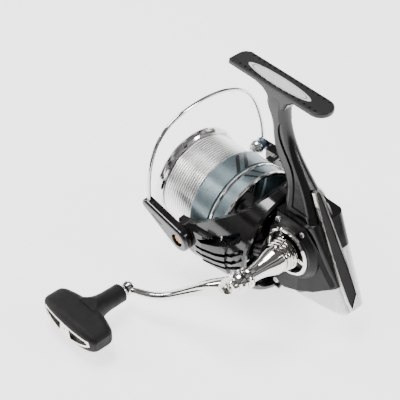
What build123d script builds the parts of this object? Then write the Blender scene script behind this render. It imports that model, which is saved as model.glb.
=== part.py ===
from build123d import *
import math
import os

# Spinning reel, millimetres. The origin is the centre of the foot's top face.
# +X runs forward along the rod, +Y is the handle side, +Z is up through the foot.

# ---- driving dimensions ------------------------------------------------------
FOOT_LENGTH = 70.0
FOOT_HALF_WIDTH = 7.4
FOOT_THICKNESS = 3.0
AXIS_Z = -107.0          # spool and rotor axis, below the foot's top face
CRANK_X = -28.4          # crank axis, behind the foot's centre
CRANK_RISE = 14.6        # crank axis above the spool axis
CRANK_Z = AXIS_Z + CRANK_RISE
ROTOR_ANGLE = -5.0       # how far the rotor stands turned about +X

LIP_RADIUS = 32.0
SKIRT_RADIUS = 31.4
DRUM_RADIUS = 28.6
SKIRT_FRONT = 67.2
LIP_FRONT = 98.0
SHAFT_RADIUS = 2.25
FIT = 0.06               # running fit, radial

CASE_HALF = 12.0         # gear case half width behind the side cover
COVER_FACE = 15.4
KNOB_X = 64.0            # knob axis ahead of the crank axis
KNOB_Z = -20.5           # knob axis below the spool axis

SPOOL_AXIS = Axis((CRANK_X, 0, AXIS_Z), (1, 0, 0))
CRANK_AXIS = Axis((CRANK_X, 0, CRANK_Z), (0, 1, 0))
KNOB_AXIS = Axis((CRANK_X + KNOB_X, 0, AXIS_Z + KNOB_Z), (0, 1, 0))


def side(y=0.0):
    """Plane looking from the -Y side: local x forward, local y up, zero on the spool axis."""
    return Plane(origin=(CRANK_X, y, AXIS_Z), x_dir=(1, 0, 0), z_dir=(0, -1, 0))


def level(z):
    """Horizontal plane at a height above the spool axis."""
    return Plane(origin=(CRANK_X, 0, AXIS_Z + z), x_dir=(1, 0, 0), z_dir=(0, 0, 1))


def across(x):
    """Plane square to the spool axis: local x to +Y, local y up."""
    return Plane(origin=(CRANK_X + x, 0, AXIS_Z), x_dir=(0, 1, 0), z_dir=(1, 0, 0))


def lengthwise(x, z):
    """Plane through an axis that runs along Y: local x is Y, local y is the radius."""
    return Plane(origin=(CRANK_X + x, 0, AXIS_Z + z), x_dir=(0, 1, 0), z_dir=(1, 0, 0))


CRANK_SECTION = lengthwise(0, CRANK_RISE)
KNOB_SECTION = lengthwise(KNOB_X, KNOB_Z)


def turned(points, plane, axis):
    """Solid of revolution from a closed outline of (along, radius) points."""
    with BuildPart() as piece:
        with BuildSketch(plane):
            with BuildLine():
                Polyline(*points, close=True)
            make_face()
        revolve(axis=axis)
    return piece


def on_shaft(points):
    return turned(points, side(), SPOOL_AXIS)


def on_crank(points):
    return turned(points, CRANK_SECTION, CRANK_AXIS)


def ring_points(a, b, inner, outer, edge=0.0):
    """Outline of a plain ring from a to b with broken outer corners."""
    if edge == 0.0:
        return [(a, inner), (b, inner), (b, outer), (a, outer)]
    return [(a, inner), (b, inner), (b, outer - edge), (b - edge, outer), (a + edge, outer), (a, outer - edge)]


def prism(points, y0, y1):
    """Block with a side outline, from y0 to y1."""
    with BuildPart() as piece:
        with BuildSketch(side(y0)):
            with BuildLine():
                Polyline(*points, close=True)
            make_face()
        extrude(amount=y0 - y1)
    return piece


def join(*pieces):
    """Several separate solids kept as one node."""
    with BuildPart() as group:
        for piece in pieces:
            add(piece.part)
    return group


def as_rotor(piece):
    """Turn a piece modelled upright to the angle the rotor stands at."""
    with BuildPart() as turned_piece:
        add(piece.part.rotate(SPOOL_AXIS, ROTOR_ANGLE))
    return turned_piece


def gear_outline(teeth, root, tip, fill=0.42, phase=0.0):
    """Closed outline of a spur gear with straight-sided teeth."""
    points = []
    pitch = 2 * math.pi / teeth
    for i in range(teeth):
        start = i * pitch + phase
        for share, radius in ((-0.5 * fill - 0.1, root), (-0.5 * fill + 0.08, tip),
                              (0.5 * fill - 0.08, tip), (0.5 * fill + 0.1, root)):
            angle = start + share * pitch
            points.append((radius * math.cos(angle), radius * math.sin(angle)))
    return points


# ---- gear case, stem and foot -----------------------------------------------
STEM_SECTIONS = [
    # height, rear x, front x, half width
    (97.5, 22.4, 35.0, 4.5),
    (84.0, 21.4, 33.2, 4.5),
    (72.0, 17.0, 30.4, 4.7),
    (62.5, 11.0, 26.4, 5.1),
    (53.0, 3.4, 19.2, 5.9),
    (44.0, -3.0, 15.6, 7.3),
    (33.0, -9.8, 13.6, 9.6),
    (22.0, -16.2, 13.0, 11.2),
]


def stem_loft(trim):
    """The stem as one skin; trim takes the flanks in."""
    with BuildPart() as piece:
        for height, rear, front, half in STEM_SECTIONS:
            with BuildSketch(level(height)):
                with Locations(((rear + front) / 2, 0)):
                    RectangleRounded(front - rear, 2 * (half - trim), min(4.2, half - trim - 0.4))
        loft()
    return piece


CASE_SIDE = [
    (15.2, 33.5), (-11.4, 33.5), (-30.2, 0.0), (-38.6, -15.0), (-36.0, -19.4),
    (-30.0, -21.2), (-22.0, -21.6), (-8.0, -21.4), (6.0, -21.0), (15.2, -20.6),
]


CASE_PLAN = [(22.0, -14.8), (22.0, CASE_HALF), (-8.0, CASE_HALF), (-42.0, 5.8), (-42.0, -7.6), (-8.0, -14.8)]


def plan_prism(points, z0, z1):
    """Block with a plan outline, from height z0 to z1."""
    with BuildPart() as piece:
        with BuildSketch(level(z0)):
            with BuildLine():
                Polyline(*points, close=True)
            make_face()
        extrude(amount=z1 - z0)
    return piece


def case_block():
    """Outside of the gear case, before it is parted into housing and rear cover."""
    plan = plan_prism(CASE_PLAN, -40, 60)
    with BuildPart() as piece:
        with BuildSketch(side(-20.0)):
            with BuildLine():
                Polyline(*CASE_SIDE, close=True)
            make_face()
        extrude(amount=-40.0)
        add(plan.part, mode=Mode.INTERSECT)
        long_edges = piece.edges().filter_by(lambda e: abs(e.tangent_at(0.5).Y) < 0.6
                                             and e.center().X < CRANK_X + 14.0
                                             and e.center().Z < AXIS_Z + 33.0
                                             and not (abs(e.tangent_at(0.5).Z) > 0.95
                                                      and abs(e.center().X - CRANK_X + 8.0) < 1.0))
        fillet(long_edges, radius=4.6)
    return piece


stem_skin = stem_loft(0.0)
stem_core = stem_loft(0.8)
case_outside = case_block()

with BuildPart() as stem_pocket:
    with BuildSketch(side()):
        with BuildLine():
            Spline((20.0, 85.5), (25.2, 82.0), (24.6, 74.6), (19.2, 66.0), (12.4, 56.5),
                   (9.0, 45.0), (7.6, 37.0))
            Line((7.6, 37.0), (-5.2, 37.0))
            Spline((-5.2, 37.0), (-2.6, 47.0), (3.4, 58.0), (11.8, 68.0), (15.4, 78.3),
                   (17.0, 83.6), (20.0, 85.5))
        make_face()
    extrude(amount=20, both=True)
    add(stem_core.part, mode=Mode.SUBTRACT)

# Everything behind and below this outline belongs to the bright rear cover.
REAR_REGION = [(4.0, -30.0), (-5.0, -18.6), (-10.0, -14.6), (-17.5, -9.6), (-30.2, 0.2),
               (-46.0, 9.0), (-46.0, -30.0)]
FAR_BAND = [(-11.9, 17.0), (-24.6, -5.0), (-50.0, -5.0), (-50.0, 17.0)]

rear_region = prism(REAR_REGION, -20, 20)
far_band = prism(FAR_BAND, -20, -4.6)
housing_rear_cut = prism([(x + 0.12, z + 0.06) for x, z in REAR_REGION], -20, 20)
housing_band_cut = prism([(-11.8, 17.1), (-24.48, -5.0), (-50.0, -5.0), (-50.0, 17.1)], -20, -4.5)

CAVITY = [(13.2, 31.0), (-8.6, 31.0), (-27.6, -2.0), (-33.0, -13.0), (-31.0, -16.8),
          (-20.0, -18.7), (13.2, -18.7)]
INNER_PLAN = [(16.0, -12.2), (16.0, 10.2), (-8.0, 10.2), (-42.0, 3.9), (-42.0, -5.6), (-8.0, -12.2)]
inner_plan = plan_prism(INNER_PLAN, -40, 60)
with BuildPart() as case_cavity:
    add(prism(CAVITY, -12.2, 10.2).part)
    add(inner_plan.part, mode=Mode.INTERSECT)

foot_plane = Plane(origin=(0, 0, 0), x_dir=(1, 0, 0), z_dir=(0, 0, 1))
with BuildPart() as foot_blank:
    with BuildSketch(foot_plane.offset(-FOOT_THICKNESS)):
        with BuildLine():
            half = FOOT_LENGTH / 2
            w = FOOT_HALF_WIDTH
            Polyline((half, w - 1.3), (half - 1.3, w), (-half + w, w))
            ThreePointArc((-half + w, w), (-half, 0), (-half + w, -w))
            Polyline((-half + w, -w), (half - 4.0, -w), (half - 1.0, -w + 2.2), (half, -w + 5.0),
                     (half, w - 1.3))
        make_face()
    extrude(amount=FOOT_THICKNESS)
    fillet(foot_blank.faces().sort_by(Axis.Z)[-1].edges(), radius=0.7)
    fillet(foot_blank.faces().sort_by(Axis.Z)[0].edges(), radius=0.9)

FOOT_WEDGE = [(60.0, 104.6), (39.0, 99.0), (36.0, 96.6), (34.7, 93.0), (22.6, 93.0), (20.6, 97.4),
              (16.4, 100.6), (2.0, 104.6)]
with BuildPart() as foot_wedge:
    with BuildSketch(side()):
        with BuildLine():
            Polyline(*FOOT_WEDGE, close=True)
        make_face()
    extrude(amount=4.45, both=True)
    fillet(foot_wedge.edges().filter_by(lambda e: abs(e.tangent_at(0.5).Y) < 0.1
                                        and e.center().Z < -3.2 and e.center().Z > -12.5), radius=1.5)

with BuildPart() as dimples:
    rows = [(-29.0 + 4.0 * i, y) for i in range(15) for y in (-5.4, 5.4)]
    with BuildSketch(foot_plane.offset(-0.45)):
        with Locations(*rows):
            Circle(0.85)
    extrude(amount=1.0)

nose = on_shaft([(11.0, 0), (11.0, 11.9), (15.6, 11.9), (15.6, 24.0), (20.6, 24.0), (22.0, 22.6),
                 (22.0, 13.6), (27.2, 13.6), (27.2, 0)])
nose_bore = on_shaft([(10.0, 0), (10.0, 5.6), (14.0, 5.6), (14.0, 9.06), (19.4, 9.06), (19.4, 11.56),
                      (28.0, 11.56), (28.0, 0)])
gear_room = on_crank([(-12.2, 0), (10.2, 0), (10.2, 9.6), (-2.6, 9.6), (-2.6, 16.3), (-12.2, 16.3)])
crank_boss_far = on_crank([(-16.7, 0), (-16.7, 9.6), (-16.0, 10.4), (-11.8, 10.8), (-11.8, 0)])
near_wall_opening = on_crank([(8.0, 0), (14.0, 0), (14.0, 10.46), (8.0, 10.46)])
ar_lug = prism([(3.2, -24.4), (5.4, -24.4), (5.4, -20.0), (3.2, -20.0)], 5.4, 8.6)
with BuildPart() as bulkhead:
    with BuildSketch(across(0.6)):
        with BuildLine():
            Polyline((-2.4, -19.2), (10.6, -19.2), (10.6, 3.6), (-2.4, 3.6), close=True)
        make_face()
        Circle(5.4, mode=Mode.SUBTRACT)
    extrude(amount=1.5)
crank_bore = on_crank([(-18.0, 0), (20.0, 0), (20.0, 4.4), (-18.0, 4.4)])
far_bearing_seat = on_crank([(-16.6, 0), (-12.0, 0), (-12.0, 8.06), (-16.6, 8.06)])

with BuildPart() as body_housing:
    add(case_outside.part)
    add(stem_skin.part)
    add(foot_wedge.part)
    add(foot_blank.part)
    add(nose.part)
    add(stem_pocket.part, mode=Mode.SUBTRACT)
    add(case_cavity.part, mode=Mode.SUBTRACT)
    add(housing_rear_cut.part, mode=Mode.SUBTRACT)
    add(housing_band_cut.part, mode=Mode.SUBTRACT)
    add(bulkhead.part)
    add(ar_lug.part)
    add(crank_boss_far.part)
    add(gear_room.part, mode=Mode.SUBTRACT)
    add(near_wall_opening.part, mode=Mode.SUBTRACT)
    add(nose_bore.part, mode=Mode.SUBTRACT)
    add(crank_bore.part, mode=Mode.SUBTRACT)
    add(far_bearing_seat.part, mode=Mode.SUBTRACT)
    add(dimples.part, mode=Mode.SUBTRACT)
    with BuildSketch(foot_plane.offset(-1.0)):
        with Locations((1.5, 1.0)):
            Ellipse(23.2, 4.1)
    extrude(amount=2.0, mode=Mode.SUBTRACT)

# ---- covers, panel and trim on the case ---------------------------------------
with BuildPart() as rear_inner:
    add(prism([(13.2, 31.0), (-8.6, 31.0), (-27.6, -2.0), (-34.6, -13.2), (-33.0, -16.6),
               (-28.0, -18.4), (13.2, -18.8)], -12.8, 10.2).part)
    add(inner_plan.part, mode=Mode.INTERSECT)
with BuildPart() as rear_cover:
    add(case_outside.part)
    add(rear_region.part, mode=Mode.INTERSECT)
    add(rear_inner.part, mode=Mode.SUBTRACT)

with BuildPart() as far_strip:
    add(case_outside.part)
    add(far_band.part, mode=Mode.INTERSECT)
    add(rear_region.part, mode=Mode.SUBTRACT)
    add(rear_inner.part, mode=Mode.SUBTRACT)

SIDE_COVER = [(14.6, 32.4), (-7.4, 33.0), (-16.6, 20.6), (-24.2, 7.4), (-28.6, 1.2), (-17.3, -9.2),
              (-7.4, -15.8), (2.0, -20.2), (14.6, -20.0)]
COVER_PLAN = [(14.6, 4.0), (14.6, COVER_FACE), (-7.4, COVER_FACE), (-40.0, 8.4), (-40.0, 4.0)]
cover_plan = plan_prism(COVER_PLAN, -40, 60)
with BuildPart() as cover_plate:
    with BuildSketch(side(8.0)):
        with BuildLine():
            Polyline(*SIDE_COVER, close=True)
        make_face()
    with BuildSketch(side(12.6)):
        with BuildLine():
            Polyline(*SIDE_COVER, close=True)
        make_face()
        offset(amount=-0.3, mode=Mode.REPLACE)
    with BuildSketch(side(16.4)):
        with BuildLine():
            Polyline(*SIDE_COVER, close=True)
        make_face()
        offset(amount=-3.2, mode=Mode.REPLACE)
    loft(ruled=True)
    add(cover_plan.part, mode=Mode.INTERSECT)
    add(case_outside.part, mode=Mode.SUBTRACT)
cover_boss = on_crank([(14.0, 0), (14.0, 19.6), (15.2, 18.8), (16.8, 17.4), (17.45, 16.9), (17.45, 0)])
boss_pocket = on_crank([(14.9, 0), (14.9, 12.6), (20.0, 13.0), (20.0, 0)])
near_bearing_seat = on_crank([(11.0, 0), (14.95, 0), (14.95, 8.06), (11.0, 8.06)])
near_bearing_wall = on_crank([(10.25, 0), (15.0, 0), (15.0, 10.4), (10.25, 10.4)])
cover_front_cut = prism([(14.7, -40), (30, -40), (30, 60), (14.7, 60)], 10.0, 20.0)
COVER_SCREWS = [(-7.2, 29.8), (9.6, -17.0), (11.0, 29.4)]
with BuildPart() as side_cover:
    add(cover_plate.part)
    add(cover_boss.part)
    add(near_bearing_wall.part)
    add(boss_pocket.part, mode=Mode.SUBTRACT)
    add(near_bearing_seat.part, mode=Mode.SUBTRACT)
    add(cover_front_cut.part, mode=Mode.SUBTRACT)
    add(crank_bore.part, mode=Mode.SUBTRACT)
    with BuildSketch(side(20.0)):
        with Locations(*COVER_SCREWS):
            Circle(2.3)
    extrude(amount=5.9, mode=Mode.SUBTRACT)
    with BuildSketch(side(20.0)):
        with Locations(*COVER_SCREWS):
            Circle(1.25)
    extrude(amount=12.0, mode=Mode.SUBTRACT)


def cross_screw(x, z):
    """Pan-head screw with a cross recess, its shank toward -Y."""
    with BuildPart() as piece:
        with BuildSketch(side(14.15)):
            with Locations((x, z)):
                Circle(2.1)
        extrude(amount=-1.5)
        fillet(piece.faces().sort_by(Axis.Y)[-1].edges(), radius=0.6)
        with BuildSketch(side(14.15)):
            with Locations((x, z)):
                Circle(1.1)
        extrude(amount=2.2)
        with BuildSketch(side(16.0)):
            with Locations((x, z)):
                Rectangle(2.4, 0.5)
                Rectangle(0.5, 2.4)
        extrude(amount=1.0, mode=Mode.SUBTRACT)
    return piece


cover_screws = join(*[cross_screw(x, z) for x, z in COVER_SCREWS])

# The back of the case slopes along this plane, from under the stem to the tail.
BACK_TOP = (-2.6, 49.0)
BACK_SLOPE = math.atan2(35.6, 63.0)
back_plane = Plane(
    origin=(CRANK_X + BACK_TOP[0], 0, AXIS_Z + BACK_TOP[1]),
    x_dir=(0, 1, 0),
    z_dir=(-math.cos(BACK_SLOPE), 0, math.sin(BACK_SLOPE)),
)
PANEL_SIDE = [(-0.6, 2.3), (14.7, 4.0), (29.3, 4.6), (51.7, 5.0), (66.0, 4.6), (72.4, 3.6)]
PANEL_FAR = [(-0.6, -1.5), (17.3, -2.4), (32.7, -3.0), (53.4, -4.0), (64.6, -3.9)]


def back_outline(grow):
    """Panel outline on the back plane; grow widens it all round."""
    near = [(w + grow, s) for s, w in PANEL_SIDE]
    far = [(w - grow, s) for s, w in PANEL_FAR]
    near[0] = (near[0][0], -0.6 - 1.5 * grow)
    far[0] = (far[0][0], -0.6 - 1.5 * grow)
    near[-1] = (near[-1][0], near[-1][1] + 1.4 * grow)
    return [(0.5, -1.9 - 1.5 * grow)] + near + far[::-1]


with BuildPart() as tail_panel:
    for drop, shrink, thick in ((-0.9, -0.75, 1.5), (0.55, -1.15, 0.4)):
        with BuildSketch(back_plane.offset(drop)):
            with BuildLine():
                Polyline(*back_outline(shrink), close=True)
            make_face()
        extrude(amount=thick)

with BuildPart() as tail_trim:
    with BuildSketch(back_plane.offset(-1.0)):
        with BuildLine():
            Polyline(*back_outline(0.35), close=True)
        make_face()
    extrude(amount=2.4)
    with BuildSketch(back_plane.offset(-2.0)):
        with BuildLine():
            Polyline(*back_outline(-0.65), close=True)
        make_face()
    extrude(amount=6.0, mode=Mode.SUBTRACT)

with BuildPart() as panel_seat:
    with BuildSketch(back_plane.offset(-1.05)):
        with BuildLine():
            Polyline(*back_outline(0.42), close=True)
        make_face()
    extrude(amount=8.0)

with BuildPart() as body_housing_seated:
    add(body_housing.part)
    add(panel_seat.part, mode=Mode.SUBTRACT)
    for x, z in COVER_SCREWS:
        add(prism([(x - 1.3, z - 1.3), (x + 1.3, z - 1.3), (x + 1.3, z + 1.3), (x - 1.3, z + 1.3)],
                  11.2, 13.0).part, mode=Mode.SUBTRACT)
with BuildPart() as rear_cover_seated:
    add(rear_cover.part)
    add(far_strip.part)
    add(panel_seat.part, mode=Mode.SUBTRACT)

with BuildPart() as foot_plate:
    with BuildSketch(foot_plane.offset(-0.98)):
        with Locations((1.5, 1.0)):
            Ellipse(23.0, 3.9)
    extrude(amount=0.98)

# chrome ring round the crank, with three spokes
with BuildPart() as crank_ring:
    with BuildSketch(CRANK_SECTION):
        with BuildLine():
            Polyline((17.5, 13.1), (17.5, 15.3), (18.3, 15.3), (18.85, 14.6), (18.85, 13.4),
                     (18.3, 13.1), close=True)
        make_face()
    revolve(axis=CRANK_AXIS)
    with BuildSketch(Plane(origin=(CRANK_X, 18.5, CRANK_Z), x_dir=(1, 0, 0), z_dir=(0, -1, 0))):
        with PolarLocations(10.98, 3, start_angle=62):
            Trapezoid(3.0, 4.3, 84, rotation=-90)
    extrude(amount=0.95)
    with BuildSketch(CRANK_SECTION):
        with BuildLine():
            Polyline((15.2, 8.6), (18.9, 8.6), (18.9, 9.6), (15.2, 9.6), close=True)
        make_face()
    revolve(axis=CRANK_AXIS)

crank_bearings = join(
    on_crank(ring_points(-16.5, -12.1, 4.06, 8.0, 0.3)),
    on_crank(ring_points(11.05, 14.9, 4.06, 8.0, 0.3)),
)

# ---- gear train ------------------------------------------------------------------
with BuildPart() as drive_gear:
    with BuildSketch(CRANK_SECTION):
        with BuildLine():
            Polyline((-17.4, 0), (-17.4, 4.0), (-8.2, 4.0), (-8.2, 15.4), (-5.6, 15.4), (-5.6, 12.4),
                     (-6.6, 11.6), (-6.6, 6.0), (-3.0, 6.0), (-3.0, 4.0), (14.6, 4.0), (14.6, 0),
                     close=True)
        make_face()
    revolve(axis=CRANK_AXIS)
    with BuildSketch(Plane(origin=(CRANK_X, -5.65, CRANK_Z), x_dir=(1, 0, 0), z_dir=(0, -1, 0))):
        with PolarLocations(13.9, 47):
            Trapezoid(2.8, 1.0, 84)
    extrude(amount=-0.55)

OSC_X = -6.5
OSC_Z = -5.2
OSC_DISTANCE = math.hypot(OSC_X, OSC_Z - CRANK_RISE)
osc_line = math.atan2(OSC_Z - CRANK_RISE, OSC_X)
with BuildPart() as crank_pinion:
    with BuildSketch(Plane(origin=(CRANK_X, -8.5, CRANK_Z), x_dir=(1, 0, 0), z_dir=(0, -1, 0))):
        with BuildLine():
            Polyline(*gear_outline(20, 9.3, 11.0, 0.36, osc_line), close=True)
        make_face()
        Circle(4.06, mode=Mode.SUBTRACT)
    extrude(amount=2.2)

with BuildPart() as oscillation_gear:
    with BuildSketch(Plane(origin=(CRANK_X + OSC_X, -8.5, AXIS_Z + OSC_Z), x_dir=(1, 0, 0),
                           z_dir=(0, -1, 0))):
        with BuildLine():
            Polyline(*gear_outline(23, OSC_DISTANCE - 11.5, OSC_DISTANCE - 9.8, 0.36,
                                   osc_line + math.pi + math.pi / 23), close=True)
        make_face()
        Circle(1.56, mode=Mode.SUBTRACT)
    extrude(amount=1.7)
    with BuildSketch(Plane(origin=(CRANK_X + OSC_X, -8.5, AXIS_Z + OSC_Z), x_dir=(1, 0, 0),
                           z_dir=(0, -1, 0))):
        with Locations((-2.4, 3.1)):
            Circle(1.2)
    extrude(amount=-3.4)

with BuildPart() as oscillation_post:
    with BuildSketch(Plane(origin=(CRANK_X + OSC_X, -12.15, AXIS_Z + OSC_Z), x_dir=(1, 0, 0),
                           z_dir=(0, -1, 0))):
        Circle(1.5)
    extrude(amount=-3.7)
    with BuildSketch(Plane(origin=(CRANK_X + OSC_X, -8.45, AXIS_Z + OSC_Z), x_dir=(1, 0, 0),
                           z_dir=(0, -1, 0))):
        Circle(1.9)
    extrude(amount=-0.5)

with BuildPart() as pinion:
    with BuildSketch(side()):
        with BuildLine():
            Polyline((2.4, SHAFT_RADIUS + FIT), (37.0, SHAFT_RADIUS + FIT), (37.0, 4.5), (12.6, 4.5),
                     (12.6, 4.0), (2.4, 4.0), close=True)
        make_face()
    revolve(axis=SPOOL_AXIS)
    with BuildSketch(across(2.4)):
        with BuildLine():
            Polyline(*gear_outline(10, 3.8, 4.95, 0.42), close=True)
        make_face()
        Circle(3.2, mode=Mode.SUBTRACT)
    extrude(amount=10.2)

pinion_bearing = on_shaft(ring_points(14.1, 19.3, 4.5 + FIT, 9.0, 0.3))
with BuildPart() as roller_clutch:
    with BuildSketch(side()):
        with BuildLine():
            Polyline((19.5, 4.5 + FIT), (27.0, 4.5 + FIT), (27.0, 11.4), (19.5, 11.4), close=True)
        make_face()
    revolve(axis=SPOOL_AXIS)
    with BuildSketch(across(27.0)):
        with PolarLocations(7.4, 9):
            Circle(1.0)
    extrude(amount=-1.0, mode=Mode.SUBTRACT)

with BuildPart() as main_shaft:
    with BuildSketch(side()):
        with BuildLine():
            Polyline((-15.0, 0), (-15.0, SHAFT_RADIUS), (103.2, SHAFT_RADIUS), (104.0, 1.6), (104.0, 0),
                     close=True)
        make_face()
    revolve(axis=SPOOL_AXIS)

with BuildPart() as spool_sleeve:
    with BuildSketch(side()):
        with BuildLine():
            Polyline((54.0, 2.26), (86.0, 2.26), (86.0, 3.98), (57.4, 3.98), (57.4, 6.4), (56.2, 6.4),
                     (56.2, 10.2), (55.2, 10.2), (55.2, 5.0), (54.0, 5.0), close=True)
        make_face()
    revolve(axis=SPOOL_AXIS)
    with BuildSketch(across(55.2)):
        with PolarLocations(10.2, 24):
            Circle(0.55)
    extrude(amount=1.0, mode=Mode.SUBTRACT)

with BuildPart() as slider:
    with BuildSketch(across(-14.8)):
        with Locations((-0.2, 0)):
            RectangleRounded(9.2, 12.0, 1.4)
        Circle(2.3, mode=Mode.SUBTRACT)
        with Locations((2.4, 4.2), (2.4, -4.2)):
            Circle(0.86, mode=Mode.SUBTRACT)
    extrude(amount=6.4)
    with BuildSketch(side(-5.4)):
        with Locations((-11.6, 0)):
            SlotOverall(11.0, 3.3, rotation=90)
    extrude(amount=-2.0, mode=Mode.SUBTRACT)

with BuildPart() as guide_rods:
    with BuildSketch(across(-22.4)):
        with Locations((2.4, 4.2), (2.4, -4.2)):
            Circle(0.8)
    extrude(amount=22.9)

# ---- rotor ------------------------------------------------------------------------
ROTOR_REAR = 17.0
rotor_shell = on_shaft([
    (28.6, 4.56), (28.6, 12.0), (27.8, 15.0), (27.8, 32.2), (ROTOR_REAR, 32.6), (ROTOR_REAR, 34.6),
    (18.4, 35.6), (46.0, 37.4), (69.0, 38.2), (69.0, 34.4), (44.0, 33.6), (31.4, 33.0), (31.0, 15.0),
    (32.8, 12.0), (32.8, 4.56),
])
SCALLOP = [(20.4, 60.0), (20.6, 39.0), (22.4, 36.4), (25.0, 34.2), (27.6, 31.4), (31.4, 28.2),
           (37.2, 24.2), (46.6, 18.0), (57.4, 10.2), (63.0, 8.2), (76.0, 7.4), (76.0, 60.0)]
WINDOW_HOLE = [(50.0, 6.2), (40.0, 12.0), (31.8, 17.0), (25.4, 21.4), (22.6, 19.6), (22.6, 16.8),
               (27.4, 12.4), (36.6, 8.4), (47.0, 5.4)]
SLOTS = [
    [(50.0, 0.4), (36.4, 2.2), (26.4, 6.2), (19.4, 13.2)],
    [(50.4, -4.6), (36.6, -3.0), (26.4, 0.4), (19.2, 8.0)],
    [(50.8, -9.6), (38.0, -8.2), (28.0, -5.4), (19.2, 1.8)],
]


def mirrored(points):
    return [(x, -z) for x, z in points]


def arm_tongue(y0, y1, radius, rear):
    """Rounded tongue running forward to the bail pivot."""
    with BuildPart() as piece:
        with BuildSketch(side(y0)):
            with BuildLine():
                Polyline((62.0, radius), (48.0, 10.4), (rear, 13.6), (rear, -13.6), (48.0, -10.4),
                         (62.0, -radius))
                ThreePointArc((62.0, -radius), (62.0 + radius, 0), (62.0, radius))
            make_face()
        extrude(amount=y0 - y1)
    return piece


arm_limit = on_shaft([(16.0, 33.8), (30.0, 34.4), (30.0, 37.8), (46.0, 41.0), (73.0, 41.6), (73.0, 33.8)])
near_arm = arm_tongue(30.0, 42.0, 8.8, 24.0)
far_arm = arm_tongue(-42.0, -30.0, 8.8, 24.0)
with BuildPart() as arms:
    add(near_arm.part)
    add(far_arm.part)
    add(arm_limit.part, mode=Mode.INTERSECT)
arm_faces = join(prism([(53.0, -12.0), (76.0, -12.0), (76.0, 12.0), (53.0, 12.0)], 40.0, 45.0),
                 prism([(53.0, -12.0), (76.0, -12.0), (76.0, 12.0), (53.0, 12.0)], -45.0, -40.0))


def slot_cut(points, width, y0, y1):
    """Rounded groove along a run of points, seen from the side."""
    with BuildPart() as piece:
        with BuildSketch(side(y0)):
            for start, end in zip(points[:-1], points[1:]):
                length = math.hypot(end[0] - start[0], end[1] - start[1])
                with Locations(((start[0] + end[0]) / 2, (start[1] + end[1]) / 2)):
                    SlotCenterToCenter(length, width, rotation=math.degrees(
                        math.atan2(end[1] - start[1], end[0] - start[0])))
        extrude(amount=y0 - y1)
    return piece


with BuildPart() as rotor:
    add(rotor_shell.part)
    add(arms.part)
    add(prism(SCALLOP, -60, 60).part, mode=Mode.SUBTRACT)
    add(prism(mirrored(SCALLOP), -60, 60).part, mode=Mode.SUBTRACT)
    add(prism(WINDOW_HOLE, 10, 60).part, mode=Mode.SUBTRACT)
    add(prism(mirrored(WINDOW_HOLE), -60, -10).part, mode=Mode.SUBTRACT)
    for run in SLOTS:
        add(slot_cut(run, 2.3, 20.0, 60.0).part, mode=Mode.SUBTRACT)
        add(slot_cut(mirrored(run), 2.3, -60.0, -20.0).part, mode=Mode.SUBTRACT)
    add(arm_faces.part, mode=Mode.SUBTRACT)
    with BuildSketch(side(-60.0)):
        with Locations((62.0, 0)):
            Circle(2.04)
    extrude(amount=-120.0, mode=Mode.SUBTRACT)
    with BuildSketch(across(34.0)):
        with PolarLocations(22.0, 6, start_angle=30):
            Circle(4.6)
    extrude(amount=-8.0, mode=Mode.SUBTRACT)

with BuildPart() as rotor_nut:
    with BuildSketch(across(33.0)):
        RegularPolygon(8.0, 6)
        Circle(4.56, mode=Mode.SUBTRACT)
    extrude(amount=3.6)
    chamfer(rotor_nut.faces().sort_by(Axis.X)[-1].outer_wire().edges(), length=0.5)

# ---- bail -------------------------------------------------------------------------
PIVOT_X = 62.0
NEAR_END = (89.6, 10.0)
FAR_END = (83.6, 2.6)
ROLLER_X = 84.8
ROLLER_Z = 3.2


def lever(end, y0, y1, root, tip):
    """Bail lever from the pivot to the wire end."""
    dx = end[0] - PIVOT_X
    dz = end[1]
    length = math.hypot(dx, dz)
    nx = -dz / length
    nz = dx / length
    with BuildPart() as piece:
        with BuildSketch(side(y0)):
            with Locations((PIVOT_X, 0)):
                Circle(root)
            with Locations(end):
                Circle(tip)
            with BuildLine():
                Polyline((PIVOT_X + nx * root, nz * root), (end[0] + nx * tip, end[1] + nz * tip),
                         (end[0] - nx * tip, end[1] - nz * tip), (PIVOT_X - nx * root, -nz * root),
                         close=True)
            make_face()
        extrude(amount=y0 - y1)
    return piece


near_lever = lever(NEAR_END, 40.2, 46.0, 8.2, 3.3)
with BuildPart() as bail_arm:
    add(near_lever.part)
    fillet(bail_arm.faces().sort_by(Axis.Y)[-1].edges(), radius=1.8)
    with BuildSketch(side(50.0)):
        with Locations((PIVOT_X, 0)):
            Circle(4.3)
    extrude(amount=6.6, mode=Mode.SUBTRACT)
    with BuildSketch(side(50.0)):
        with Locations((PIVOT_X, 0)):
            Circle(2.06)
    extrude(amount=20.0, mode=Mode.SUBTRACT)
    with BuildSketch(side(50.0)):
        with Locations((78.6, 6.2)):
            SlotOverall(9.0, 3.0, rotation=20)
    extrude(amount=4.2, mode=Mode.SUBTRACT)

far_lever = lever(FAR_END, -47.6, -40.2, 8.2, 3.9)
far_relief = prism([(75.8, -9.0), (96.0, -9.0), (96.0, 12.0), (75.8, 12.0)], -46.0, -38.0)
with BuildPart() as roller_arm:
    add(far_lever.part)
    fillet(roller_arm.faces().sort_by(Axis.Y)[0].edges(), radius=1.4)
    add(far_relief.part, mode=Mode.SUBTRACT)
    with BuildSketch(side(-50.0)):
        with Locations((PIVOT_X, 0)):
            Circle(4.3)
    extrude(amount=-6.0, mode=Mode.SUBTRACT)
    with BuildSketch(side(-50.0)):
        with Locations((PIVOT_X, 0)):
            Circle(2.06)
    extrude(amount=-20.0, mode=Mode.SUBTRACT)
    with BuildSketch(side(-50.0)):
        with Locations((ROLLER_X - 1.0, ROLLER_Z)):
            Circle(1.26)
    extrude(amount=-6.0, mode=Mode.SUBTRACT)

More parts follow.
